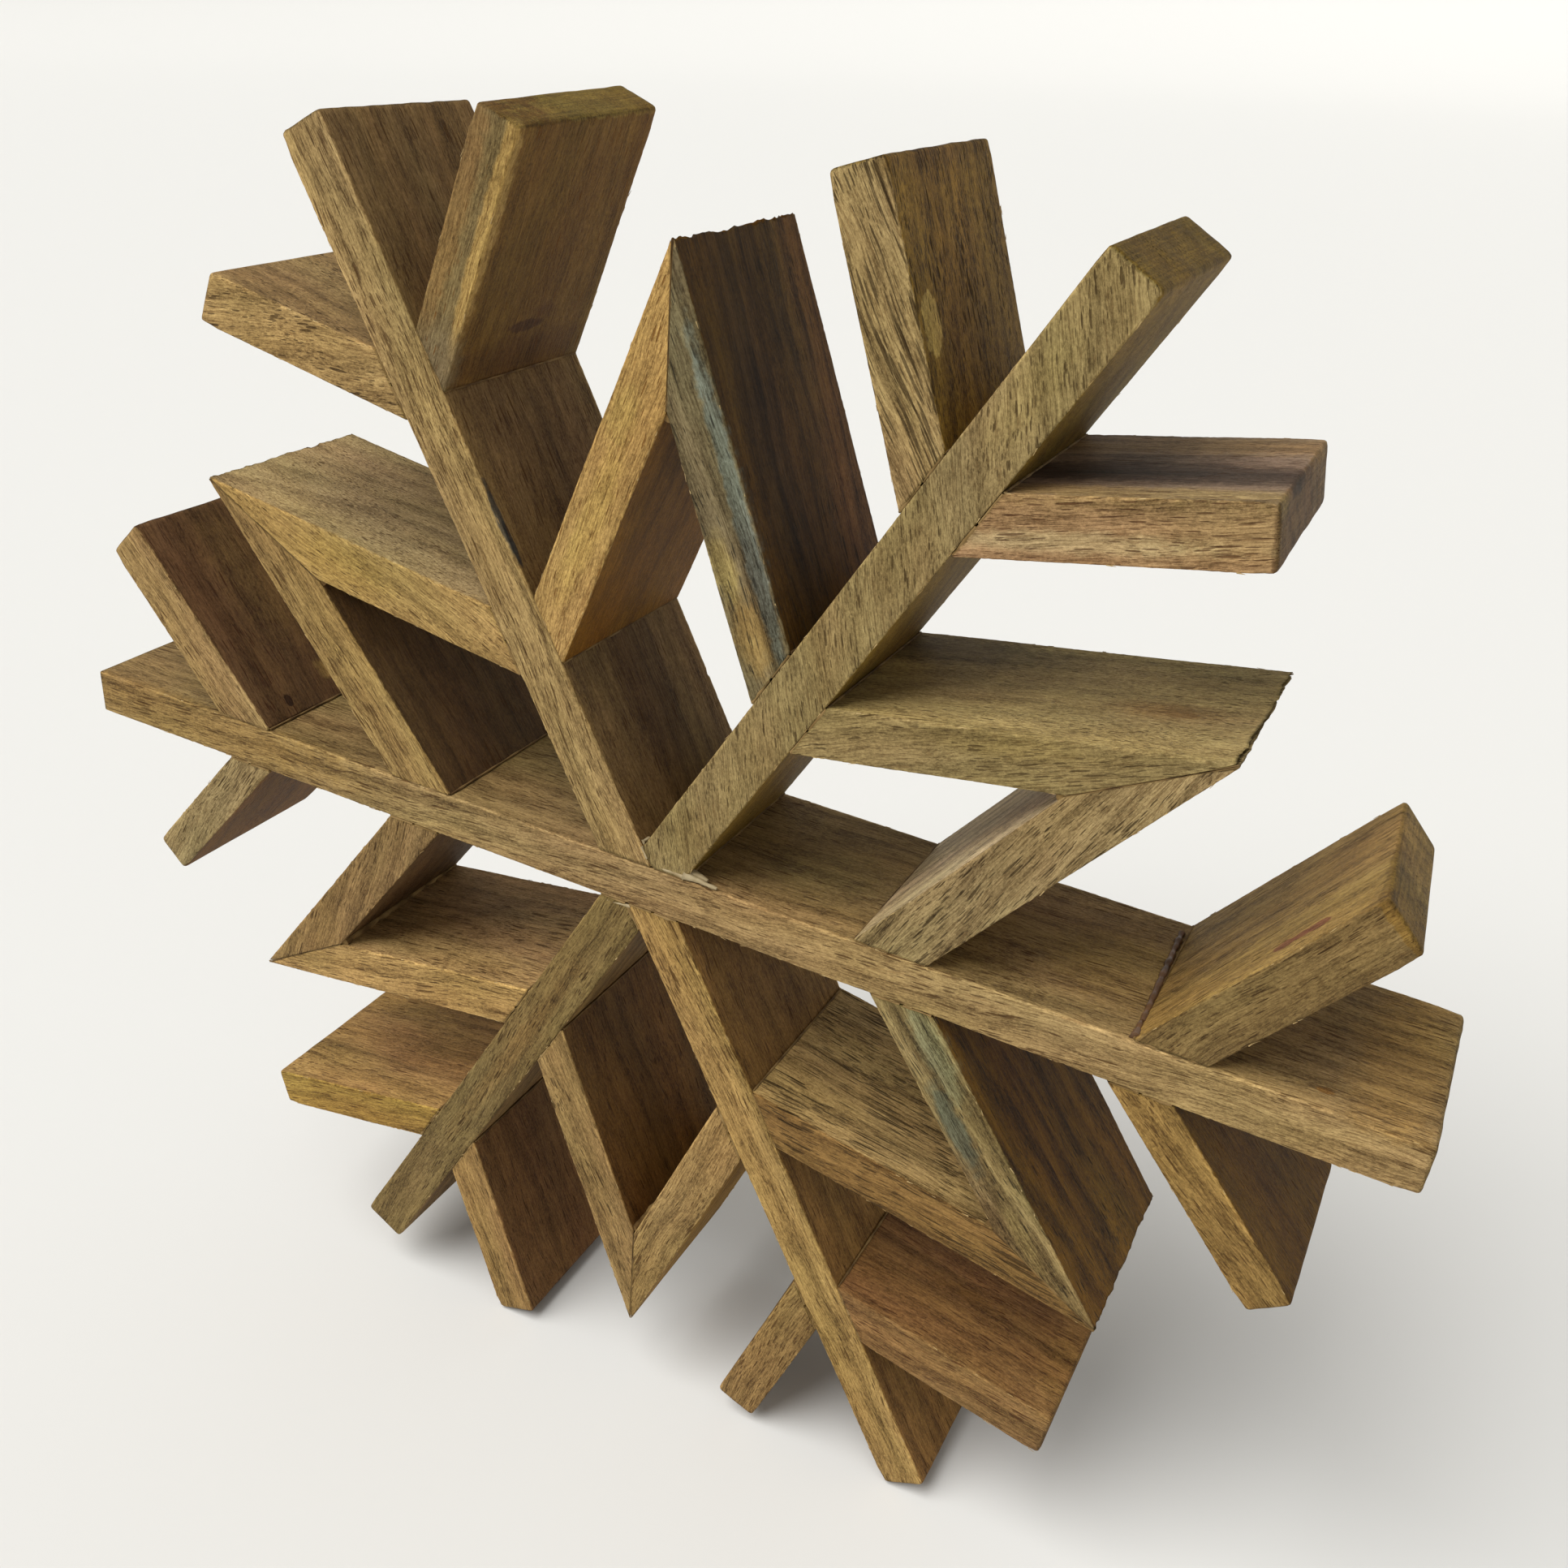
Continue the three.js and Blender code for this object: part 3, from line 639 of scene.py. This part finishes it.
INNER_CUTS = {
    "inner_branch_right_ccw": cut("zebra", "8e7850", "bca47b", 10, 3, pores=0.85, dash=1.0),
    "inner_branch_right_cw": cut("spalted", "816c44", "60410e", 4, 2, dash=1.2, streaks=1.3, marks=(
        Mark((40, -21, -1), (16, 3, 2), "715c38", 0.8),
        Mark((14, -21, 2), (13, 3, 3), "8a8460", 0.8),
        Mark((31, -21, -2), (11, 3, 2.5), "5e5c46", 0.9, 0.4),
        Mark((57, -21, 0), (10, 3, 2.2), "8e7a4a", 0.8),
    )),
    "inner_branch_upper_right_ccw": cut("spalted", "6d6043", "533a14", 3, 1, marks=(
        Mark((30, 22, -6), (60, 16, 4), "6e4c28", 0.9, 1.0),
        Mark((35, -9, -6), (50, 8, 3), "422f18", 0.9, 1.0),
        Mark((12, -21, 1), (9, 3, 4), "866e40", 0.9),
        Mark((11, -21, 1.6), (1.6, 3, 1.2), "8f7848", 0.9),
        Mark((34, -21, -3.4), (34, 3, 1.9), "66695c", 0.9, 0.3),
        Mark((25, -21, 3), (7, 3, 2.6), "94824e", 0.8),
    )),
    "inner_branch_upper_right_cw": cut("olive", "8b784d", "a58f5a", 10, 2, pores=0.75, dash=0.9, marks=(
        Mark((65, -4, 5), (3.4, 1.8, 3), "6e5430", 0.9, 0.5),
        Mark((63, -3, 5), (10, 4.5, 3), "927440", 0.8, 0.8),
        # A dark patch near the back edge by the arm: painted shadow.
        Mark((16, 14, 5), (26, 9, 3), "685636", 0.8),
        Mark((40, -21, 3), (18, 3, 3), "837041", 0.6),
    )),
    "inner_branch_upper_left_ccw": cut("tan", "a3854e", "a0885c", -14, 4, pores=0.8, dash=0.8, marks=(
        Mark((12, -21, -3), (12, 3, 3), "aa8b53", 0.9),
        Mark((44, -21, 0), (14, 3, 6), "9f8044", 0.7),
    )),
    "inner_branch_upper_left_cw": cut("honey", "aa8850", "7e5515", 3, 2, marks=(
        Mark((30, -21, 0), (20, 3, 3), "b29350", 0.7),
        Mark((50, -21, 2), (7, 3, 3), "a4894c", 0.7),
    )),
    "inner_branch_left_ccw": cut("brown", "896e44", "61482a", 18, 0, dash=0.8),
    "inner_branch_left_cw": cut("tan", "977b49", "574023", 0, 3),
    "inner_branch_lower_left_ccw": cut("brown", "907447", "694c27", 4, 2, marks=(
        Mark((30, 10, 5), (40, 8, 3), "785327", 0.7),
    )),
    "inner_branch_lower_left_cw": cut("tan", "a98752", "a68455", 3, 0),
    "inner_branch_lower_right_ccw": cut("zebra", "7e5f33", "a28552", 2, 3, dash=1.6),
    "inner_branch_lower_right_cw": cut("tan", "967a4a", "a27c37", 2, 1),
}
OUTER_CUTS = {
    "outer_branch_right_ccw": cut("brown", "7a633b", "94763f", 2, 5, marks=(
        Mark((52, 0, 0), (2.6, 90, 60), "7b5f2d", 1.0, 0.1),
        Mark((31, -16, 5), (2.4, 1.4, 2), "74452c", 0.9, 0.1),
        Mark((34.2, -15.6, 5), (2.0, 1.1, 2), "74452c", 0.9, 0.1),
        Mark((37.6, -15.4, 5), (2.6, 1.3, 2), "74452c", 0.9, 0.1),
        Mark((11, -3, 5), (9, 3, 3), "8a6c34", 0.8, 0.3),
    )),
    "outer_branch_right_cw": cut("tan", "8b6e3c", "5b3f0c", 6, 4),
    "outer_branch_upper_right_ccw": cut("zebra", "977d51", "826325", 12, 0, pores=1.15, dash=3.5, marks=(
        Mark((27, -16.2, -5), (5, 3.4, 1.6), "b49650", 1.0, 0.05),
        Mark((55, 0, -5), (7, 40, 3), "6c5024", 0.8),
        Mark((30, 20, -5), (50, 5, 3), "7b5f2a", 0.8),
    )),
    "outer_branch_upper_right_cw": cut("red", "9b7b55", "836d56", 4, 0, marks=(
        Mark((52, 0, 0), (2.6, 90, 60), "765a3c", 1.0, 0.1),
        Mark((30, -5.5, 5), (50, 7, 3), "4a392a", 0.95, 0.5),
        Mark((28, 14, 5), (50, 8, 3), "94754a", 0.8),
        Mark((30, -18, 5), (50, 4, 3), "9c8052", 0.8),
        Mark((20, -21, -2), (26, 3, 2), "a79067", 0.8),
    )),
    "outer_branch_upper_left_ccw": cut("brown", "a28452", "8d7146", 13, 3, dash=0.8),
    "outer_branch_upper_left_cw": cut("honey", "75643f", "725525", 2, 2, marks=(
        Mark((52, 0, 0), (2.6, 90, 60), "866e35", 1.0, 0.1),
        Mark((10, -1, -5), (1.3, 6.0, 2), "4e351c", 0.9, 0.3),
        Mark((12.5, 4, -5), (2, 4, 2), "654722", 0.8),
        Mark((4, 0, -5), (5, 26, 3), "583d1d", 0.7),
        Mark((30, -21, 3), (30, 3, 3), "80643a", 0.8),
        Mark((34, -21, -3.6), (30, 3, 1.7), "a3864c", 0.9, 0.3),
        Mark((4, -21, -1), (9, 4, 6), "6e5f42", 0.8),
    )),
    "outer_branch_left_ccw": cut("olive", "937f55", "6c4606", 8, 2),
    "outer_branch_left_cw": cut("red", "987d4f", "64482b", 3, 2, marks=(
        Mark((4, -12, -5), (1.7, 1.0, 2), "33200f", 1.0, 0.1),
        Mark((7, 2, -5), (3, 2.5, 2), "9b7d46", 0.9),
        Mark((34, 0, -5), (20, 10, 3), "765930", 0.6),
    )),
    "outer_branch_lower_left_ccw": cut("brown", "947445", "73522e", 0, 2),
    "outer_branch_lower_left_cw": cut("red", "9b7d3b", "9a7845", 4, 2),
    "outer_branch_lower_right_ccw": cut("red", "83623a", "7d5a33", 3, 1, marks=(
        Mark((24, -4, 5), (9, 2.2, 3), "725128", 0.9),
        Mark((32, 8, 5), (7, 5, 3), "72522a", 0.8),
        Mark((48, 0, 5), (5, 24, 3), "8f6b3b", 0.7),
    )),
    "outer_branch_lower_right_cw": cut("tan", "896d40", "826434", 4, 2),
}


BOARD_LENGTH = 300.0  # each slat's grain is taken from its own stretch of board, in millimetres


def empty_material(name):
    material = bpy.data.materials.new(name)
    material.use_nodes = True
    material.node_tree.nodes.clear()
    return material, material.node_tree


def slat_material(node, sawn, shape, seed):
    """Seasoned open-pored hardwood, sawn and hand sanded: matt, dark vessel dashes, pale edges that are
    partly rubbed wear and partly painted highlight.
    """
    board = BOARDS[sawn.board]
    finish = getattr(bpy.context.scene.snowflake_wood, sawn.board)
    was = WoodSettings.bl_rna.properties[sawn.board].default_array
    shift = [now / before for now, before in zip(finish, was)]
    material, tree = empty_material("hardwood_" + node)
    here = add_node(tree, "ShaderNodeTexCoord").outputs["Object"]
    own = add_node(tree, "ShaderNodeMapping", {
        "Vector": here, "Location": shape.place, "Rotation": (0.0, -shape.turn, 0.0), "Scale": (MM, MM, MM),
    }, vector_type="TEXTURE").outputs[0]
    grain = add_node(tree, "ShaderNodeMapping", {
        "Vector": own, "Rotation": (0.0, math.radians(sawn.tilt), -math.radians(sawn.slope)),
        "Location": (seed * BOARD_LENGTH, 0.0, 0.0),
    }).outputs[0]
    # The broad faces' colour is partly the wood's own and partly painted shade.
    plain = add_node(tree, "ShaderNodeGroup", {
        "Slat": own, "Half depth": shape.depth / 2 / MM,
        "Edge": [c * k for c, k in zip(srgb(sawn.edge), shift)],
        "Face": [c * k for c, k in zip(srgb(sawn.face), shift)],
    }, node_tree=bpy.data.node_groups["Sanded edges and shaded faces"])
    colour = plain.outputs["Colour"]
    for mark in sawn.marks:
        colour = add_node(tree, "ShaderNodeGroup", {
            "Colour": colour, "Slat": own, "Middle": mark.middle, "Radii": mark.radii,
            "Stain": srgb(mark.colour), "Strength": mark.strength, "Soft": mark.soft,
        }, node_tree=bpy.data.node_groups["Mark"]).outputs["Colour"]
    wood = add_node(tree, "ShaderNodeGroup", {
        "Colour": colour, "Slat": own, "Grain": grain, "Pore": srgb(board.pore), "Bands": board.bands,
        "Streaks": board.streaks * sawn.streaks, "Pores": board.pores * sawn.pores, "Drift": board.drift,
        "Dash": sawn.dash,
    }, node_tree=bpy.data.node_groups["Open-pored hardwood"])
    relief = add_node(tree, "ShaderNodeBump", {
        "Height": wood.outputs["Height"], "Strength": 1.0, "Distance": 0.22 * MM,
    })
    surface = add_node(tree, "ShaderNodeBsdfPrincipled", {
        "Base Color": wood.outputs["Colour"], "Roughness": wood.outputs["Roughness"], "Normal": relief,
        "IOR": 1.45, "Specular IOR Level": 0.15,
    })
    add_node(tree, "ShaderNodeOutputMaterial", {"Surface": surface})
    return material

# --- Operators --------------------------------------------------------------------------------

CELL_ACROSS = 1.4 * MM
CELL_DEEP = 2.5 * MM
TIP_CELL_DEEP = 1.0 * MM  # on mitred slats, fine enough for their torn tips
FREE_END_RADIUS = 1.0 * MM
SQUARE_TEAR = 0.2  # how much of the mitred tips' tear a square end shows
BLOCK_SPARE = 0.1 * MM  # how much longer the block is than the cut slat that it is sheared to
SEED_STEP = 3.7


def build_slats(context, cuts, mitred):
    """Grows every slat in a cut list and stands it in for its CAD node."""
    settings = context.scene.snowflake_slats
    tree = bpy.data.node_groups["Worn slat"]
    centre = snowflake_centre()
    order = sorted(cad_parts)
    for node, sawn in cuts.items():
        shape = slat_shape(node, centre)
        seed = settings.seed + SEED_STEP * order.index(node)
        piece = grown("worn_" + node, tree, {
            "Length": shape.length + BLOCK_SPARE, "Depth": shape.depth, "Thickness": shape.thickness,
            "Cell along": settings.cell, "Cell deep": TIP_CELL_DEEP if mitred else CELL_DEEP,
            "Root low": shape.root[0], "Root corner": shape.root[1], "Root high": shape.root[2],
            "Corner": shape.corner, "End low": shape.end[0], "End high": shape.end[1],
            "End rake": shape.rake, "Arris radius": settings.arris,
            "End radius": 0.0 if mitred else FREE_END_RADIUS,
            "Waviness": settings.wander, "Chips": settings.chip,
            "Torn tip": settings.tear if mitred else SQUARE_TEAR * settings.tear, "Seed": seed,
            "Place": shape.place, "Turn": Vector((0.0, -shape.turn, 0.0)),
            "Wood": slat_material(node, sawn, shape, seed),
        })
        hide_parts(node)
        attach(piece, BODY)



def lines_mesh(name, lines):
    """A mesh of loose lines. Each is a start, an end, and the thickness at both."""
    mesh = bpy.data.meshes.new(name)
    points = [point for start, end, *_ in lines for point in (start, end)]
    mesh.from_pydata(points, [(2 * i, 2 * i + 1) for i in range(len(lines))], [])
    thick = mesh.attributes.new("thick", "FLOAT", "POINT")
    thick.data.foreach_set("value", [t for *_, first, last in lines for t in (first, last)])
    return mesh


def joint_corners(shape):
    """The (x, z) ends of a slat's glued cuts: its seat at the root, and its mitre or none."""
    along = Vector((math.cos(shape.turn), math.sin(shape.turn)))
    across = Vector((-along.y, along.x))
    origin = Vector((shape.place.x, shape.place.z))
    half = shape.thickness / 2

    def at(x, z):
        return origin + along * x + across * z

    low, corner, high = shape.root
    seat = [at(low, -half), at(corner, shape.corner), at(high, half)]
    mitre = [at(shape.end[0], -half), at(shape.end[1], half)]
    return seat, mitre

SEAM = 0.32 * MM  # radius of the glue and sawdust that fill a seat's groove
MITRE_SEAM = 0.12 * MM
SEAM_SUNK = 1.05  # how deep a seam's middle lies, in its own radii
SEAM_STOPS = 0.35 * MM  # how far the seams stop short of their corners
BEAD = 0.22 * MM  # radius of the glue squeezed out into a seat's corners
BEAD_STOPS = 0.6 * MM
WEB = 0.9 * MM  # radius of the glue that fills a mitre's notch

# Pale glue that ran out at the middle of the front: starts, ends and radii, in millimetres from
# the arms' common centre.
MIDDLE_GLUE = (
    ((8.8, 0.45, 5.6), (16.0, 0.35, 4.7), 0.8, 0.25),
    ((9.2, 1.4, 6.0), (13.5, 1.3, 5.2), 0.9, 0.4),
    ((3.2, 0.25, 5.7), (8.6, 0.25, 5.3), 0.25, 0.4),
    ((-0.9, 0.8, 9.9), (-0.6, 2.6, 9.9), 0.6, 0.5),
    ((-0.9, 0.3, 9.2), (0.4, 0.25, 6.8), 0.25, 0.25),
    ((-3.2, 0.8, -7.4), (-3.2, 2.4, -7.6), 0.6, 0.4),
    ((-9.0, 0.2, -5.6), (-3.6, 0.2, -5.4), 0.22, 0.28),
)
# Dark glue that ran along the backs of two seats, given in the same way.
DARK_GLUE = (
    ((97.4, 38.0, 0.2), (98.6, 6.0, 0.1), 0.6, 0.6),
    ((98.4, 6.0, 0.1), (98.8, 0.9, 0.0), 0.5, 0.9),
    ((49.0, 38.0, 2.6), (50.0, 8.0, 2.5), 0.5, 0.45),
)


def across_the_joint(corners, front, back, seam):
    """Lines that follow a glued cut along the front and the back."""
    lines = []
    for start, end in zip(corners, corners[1:]):
        short = (end - start).normalized() * SEAM_STOPS
        first, last = start + short, end - short
        for depth in (front + SEAM_SUNK * seam, back - SEAM_SUNK * seam):
            lines.append(((first.x, depth, first.y), (last.x, depth, last.y), seam, seam))
    return lines


def through_the_joint(corners, front, back, bead):
    """Lines that follow a glued cut's two corners from the front to the back."""
    return [((corner.x, front + BEAD_STOPS, corner.y), (corner.x, back - BEAD_STOPS, corner.y), bead, bead)
            for corner in (corners[0], corners[-1])]


def notch_webs(centre, front, back):
    """One short thick line in the notch behind each mitred tip."""
    webs = []
    for node in INNER_CUTS:
        if not node.endswith("_ccw"):
            continue
        mitre = joint_corners(slat_shape(node, centre))[1]
        middle = Vector(centre)
        notch = min(mitre, key=lambda corner: (corner - middle).length)
        notch = notch + (middle - notch).normalized() * 0.6 * WEB
        webs.append(((notch.x, front + 0.6 * WEB, notch.y), (notch.x, back - WEB, notch.y),
                     1.1 * WEB, 0.3 * WEB))
    return webs


def glue_material(name, colour, grime, roughness, sheen):
    """Dried wood glue: cloudy and pale where thick, and brown with trapped sawdust along the joints."""
    material, tree = empty_material(name)
    here = add_node(tree, "ShaderNodeTexCoord").outputs["Object"]
    dust = add_node(tree, NOISE, {"Vector": here, "Scale": 260.0, "Detail": 4.0})
    share = add_node(tree, RANGE, [dust, 0.38, 0.62])
    mix = add_node(tree, MIX, [share, srgb(colour), srgb(grime)], data_type="RGBA")
    relief = add_node(tree, "ShaderNodeBump", {"Height": dust, "Strength": 0.7, "Distance": 0.3 * MM})
    surface = add_node(tree, "ShaderNodeBsdfPrincipled", {
        "Base Color": mix, "Roughness": roughness, "IOR": 1.46, "Specular IOR Level": sheen,
        "Normal": relief,
    })
    add_node(tree, "ShaderNodeOutputMaterial", {"Surface": surface})
    return material


def run_beads(name, lines, step, unevenness, *finish):
    """Turns lines into one piece of dried glue or frayed wood, in steps and unevenness of millimetres."""
    piece = grown(name, bpy.data.node_groups["Dried glue"], {
        "Step": step * MM, "Unevenness": unevenness * MM, "Glue": glue_material(*finish),
    }, base=lines_mesh(name + "_lines", lines))
    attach(piece, BODY)


class SNOWFLAKE_OT_glue(bpy.types.Operator):
    """Build the dried glue along every joint"""
    bl_idname = "snowflake.glue"
    bl_label = "Glue"

    def execute(self, context):
        centre = snowflake_centre()
        front, back = CAD_BOX[0][1], CAD_BOX[1][1]
        flush, dark = [], []
        for node in sorted(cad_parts):
            if node == THROUGH_SLAT:
                continue
            seat, mitre = joint_corners(slat_shape(node, centre))
            flush += across_the_joint(seat, front, back, SEAM)
            dark += through_the_joint(seat, front, back, BEAD)
            if node in INNER_CUTS:
                dark += across_the_joint(mitre, front, back, MITRE_SEAM)

        def from_centre(beads):
            return [(*[(centre[0] + x * MM, front + y * MM, centre[1] + z * MM) for x, y, z in ends],
                     first * MM, last * MM) for *ends, first, last in beads]

        run_beads("glue_webs", notch_webs(centre, front, back), 0.7, 0.9,
                  "sawdust_and_glue", "927648", "5e4626", 0.8, 0.2)
        run_beads("glue_blobs", from_centre(MIDDLE_GLUE), 0.4, 0.35,
                  "pale_wood_glue", "aa9a78", "8c7852", 0.6, 0.4)
        run_beads("glue_runs", from_centre(DARK_GLUE), 0.6, 0.4,
                  "dark_wood_glue", "644528", "4a321c", 0.45, 0.5)
        run_beads("sanded_seams", flush, 1.0, 0.12,
                  "sanded_seam_glue", "8e744a", "705832", 0.8, 0.2)
        run_beads("glue_seams", dark, 1.0, 0.2,
                  "dusty_wood_glue", "846a40", "543e22", 0.75, 0.25)
        return {"FINISHED"}


FIBRE_GAP = 9.0 * MM  # mean distance between the frayed fibres along an arris
FIBRE_LENGTHS = (0.5 * MM, 1.5 * MM)
FIBRE_THICK = 0.08 * MM
FIBRE_FOOT = 0.12 * MM  # how deep in the arris a fibre starts


def frayed_fibres(shape, random):
    """Short fibres that stand off a slat's long arrises, each a start, an end and two thicknesses."""
    along = Vector((math.cos(shape.turn), 0.0, math.sin(shape.turn)))
    across = Vector((-along.z, 0.0, along.x))
    deep = Vector((0.0, 1.0, 0.0))
    fibres = []
    for side_y in (-1, 1):
        for side_z, start, end in ((-1, shape.root[0], shape.end[0]), (1, shape.root[2], shape.end[1])):
            for _ in range(int((end - start) / FIBRE_GAP)):
                x = random.uniform(start + MM, end - MM)
                length = random.uniform(*FIBRE_LENGTHS)
                lean_y, lean_z = random.uniform(-0.05, 0.2, 2)
                foot = (shape.place + along * x + deep * side_y * (shape.depth / 2 - FIBRE_FOOT)
                        + across * side_z * (shape.thickness / 2 - FIBRE_FOOT))
                tip = foot + length * (along * random.choice((-1, 1)) + deep * side_y * lean_y * 0.5
                                       + across * side_z * lean_z)
                fibres.append((foot, tip, FIBRE_THICK * random.uniform(0.7, 1.5), 0.4 * FIBRE_THICK))
    return fibres


class SNOWFLAKE_OT_fibres(bpy.types.Operator):
    """Build the frayed fibres that the saw left along the slats' edges"""
    bl_idname = "snowflake.fibres"
    bl_label = "Frayed fibres"

    def execute(self, context):
        random = np.random.default_rng(context.scene.snowflake_slats.seed)
        centre = snowflake_centre()
        fibres = [fibre for node in sorted(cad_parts)
                  for fibre in frayed_fibres(slat_shape(node, centre), random)]
        run_beads("frayed_fibres", fibres, 0.9, 0.25, "frayed_wood_fibre", "c4ab78", "9a7e50", 0.8, 0.2)
        return {"FINISHED"}


class SNOWFLAKE_OT_arms(bpy.types.Operator):
    """Build the through slat and the four arms glued to it"""
    bl_idname = "snowflake.arms"
    bl_label = "Arms"

    def execute(self, context):
        build_slats(context, ARM_CUTS, mitred=False)
        return {"FINISHED"}


class SNOWFLAKE_OT_inner_branches(bpy.types.Operator):
    """Build the twelve inner branches that meet in mitred tips"""
    bl_idname = "snowflake.inner_branches"
    bl_label = "Inner branches"

    def execute(self, context):
        build_slats(context, INNER_CUTS, mitred=True)
        return {"FINISHED"}


class SNOWFLAKE_OT_outer_branches(bpy.types.Operator):
    """Build the twelve free branches near the ends of the arms"""
    bl_idname = "snowflake.outer_branches"
    bl_label = "Outer branches"

    def execute(self, context):
        build_slats(context, OUTER_CUTS, mitred=False)
        return {"FINISHED"}


CAMERA_PLACE = Vector((0.1383, -0.2399, 0.2937))
CAMERA_AZIMUTH = math.radians(26.4)  # how far it stands to the right of the ornament's front
CAMERA_DROP = math.radians(27.4)  # how far it looks down
CAMERA_ROLL = math.radians(2.2)
FLOOR_FLAT = 6.0  # the floor is flat this far out, then sweeps up to its rim
FLOOR_EDGE = 11.0
FLOOR_RIM = 4.0
FLOOR_SIDES = 96
FLOOR_STEPS = 16


def paper_floor():
    """A round sheet of paper, flat in the middle and swept up at its edge like a studio cove."""
    rings = [(FLOOR_FLAT, 0.0)] + [
        (FLOOR_FLAT + (FLOOR_EDGE - FLOOR_FLAT) * t / FLOOR_STEPS, FLOOR_RIM * (t / FLOOR_STEPS) ** 3)
        for t in range(1, FLOOR_STEPS + 1)]
    angles = [math.tau * i / FLOOR_SIDES for i in range(FLOOR_SIDES)]
    points = [(0.0, 0.0, 0.0)] + [(r * math.cos(a), r * math.sin(a), z) for r, z in rings for a in angles]
    faces = []
    for i in range(FLOOR_SIDES):
        after = (i + 1) % FLOOR_SIDES
        faces.append((0, 1 + i, 1 + after))
        for row in range(len(rings) - 1):
            inner, outer = 1 + row * FLOOR_SIDES, 1 + (row + 1) * FLOOR_SIDES
            faces.append((inner + i, outer + i, outer + after, inner + after))
    mesh = bpy.data.meshes.new("floor")
    mesh.from_pydata(points, [], faces)
    mesh.shade_smooth()
    floor = bpy.data.objects.new("floor", mesh)
    bpy.context.scene.collection.objects.link(floor)
    return floor


def plain_material(name, colour, roughness):
    material = bpy.data.materials.new(name)
    material.use_nodes = True
    shader = material.node_tree.nodes["Principled BSDF"]
    shader.inputs["Base Color"].default_value = colour
    shader.inputs["Roughness"].default_value = roughness
    return material


def soft_light(name, comes_from, spread, strength):
    """A light from far away, as wide as a large window, so it falls off nowhere."""
    lamp = bpy.data.lights.new(name, "SUN")
    lamp.angle = math.radians(spread)
    lamp.energy = strength
    holder = bpy.data.objects.new(name, lamp)
    holder.rotation_euler = Vector(comes_from).to_track_quat("Z", "Y").to_euler()
    bpy.context.scene.collection.objects.link(holder)


class SNOWFLAKE_OT_stage(bpy.types.Operator):
    """Set up the pale floor, the soft lights and the camera"""
    bl_idname = "snowflake.stage"
    bl_label = "Stage"

    def execute(self, context):
        settings = context.scene.snowflake_stage
        floor = paper_floor()
        floor.data.materials.append(plain_material("matt_paper", settings.floor_colour, 0.9))

        soft_light("key", (-0.45, -0.6, 1.1), 50.0, settings.key_power)

        world = bpy.data.worlds.new("studio")
        world.use_nodes = True
        background = world.node_tree.nodes["Background"]
        background.inputs["Color"].default_value = srgb("fdfcfa")
        background.inputs["Strength"].default_value = settings.fill_power
        context.scene.world = world
        context.scene.view_settings.view_transform = "Standard"

        data = bpy.data.cameras.new("camera")
        data.lens = settings.lens
        data.sensor_width = 36.0
        data.clip_start = 0.01
        camera = bpy.data.objects.new("camera", data)
        turn = Matrix.Rotation(CAMERA_AZIMUTH, 3, "Z") @ Matrix.Rotation(math.pi / 2 - CAMERA_DROP, 3, "X")
        camera.rotation_euler = (turn @ Matrix.Rotation(CAMERA_ROLL, 3, "Z")).to_euler()
        camera.location = CAMERA_PLACE
        context.scene.collection.objects.link(camera)
        context.scene.camera = camera
        return {"FINISHED"}


class SNOWFLAKE_PT_panel(bpy.types.Panel):
    bl_label = "Snowflake"
    bl_idname = "SNOWFLAKE_PT_panel"
    bl_space_type = "VIEW_3D"
    bl_region_type = "UI"
    bl_category = "Snowflake"

    def draw(self, context):
        for settings in ("snowflake_slats", "snowflake_wood", "snowflake_stage"):
            box = self.layout.box()
            group = getattr(context.scene, settings)
            for name in group.bl_rna.properties.keys():
                if name not in ("rna_type", "name"):
                    box.prop(group, name)
        for operator in OPERATORS:
            self.layout.operator(operator.bl_idname)


OPERATORS = (
    SNOWFLAKE_OT_glue,
    SNOWFLAKE_OT_fibres,
    SNOWFLAKE_OT_arms,
    SNOWFLAKE_OT_inner_branches,
    SNOWFLAKE_OT_outer_branches,
    SNOWFLAKE_OT_stage,
)
GROUPS = {"snowflake_slats": SlatSettings, "snowflake_wood": WoodSettings, "snowflake_stage": StageSettings}
CLASSES = (*GROUPS.values(), *OPERATORS, SNOWFLAKE_PT_panel)


def register():
    for cls in CLASSES:
        bpy.utils.register_class(cls)
    for name, cls in GROUPS.items():
        setattr(bpy.types.Scene, name, PointerProperty(type=cls))


def unregister():
    for name in GROUPS:
        delattr(bpy.types.Scene, name)
    for cls in reversed(CLASSES):
        bpy.utils.unregister_class(cls)


def main():
    register()
    worn_slat_tree()
    sawn_tree()
    hardwood_tree()
    mark_tree()
    dried_glue_tree()
    bpy.ops.snowflake.arms()
    bpy.ops.snowflake.inner_branches()
    bpy.ops.snowflake.outer_branches()
    bpy.ops.snowflake.glue()
    bpy.ops.snowflake.fibres()
    bpy.ops.snowflake.stage()


if __name__ == "__main__":
    main()
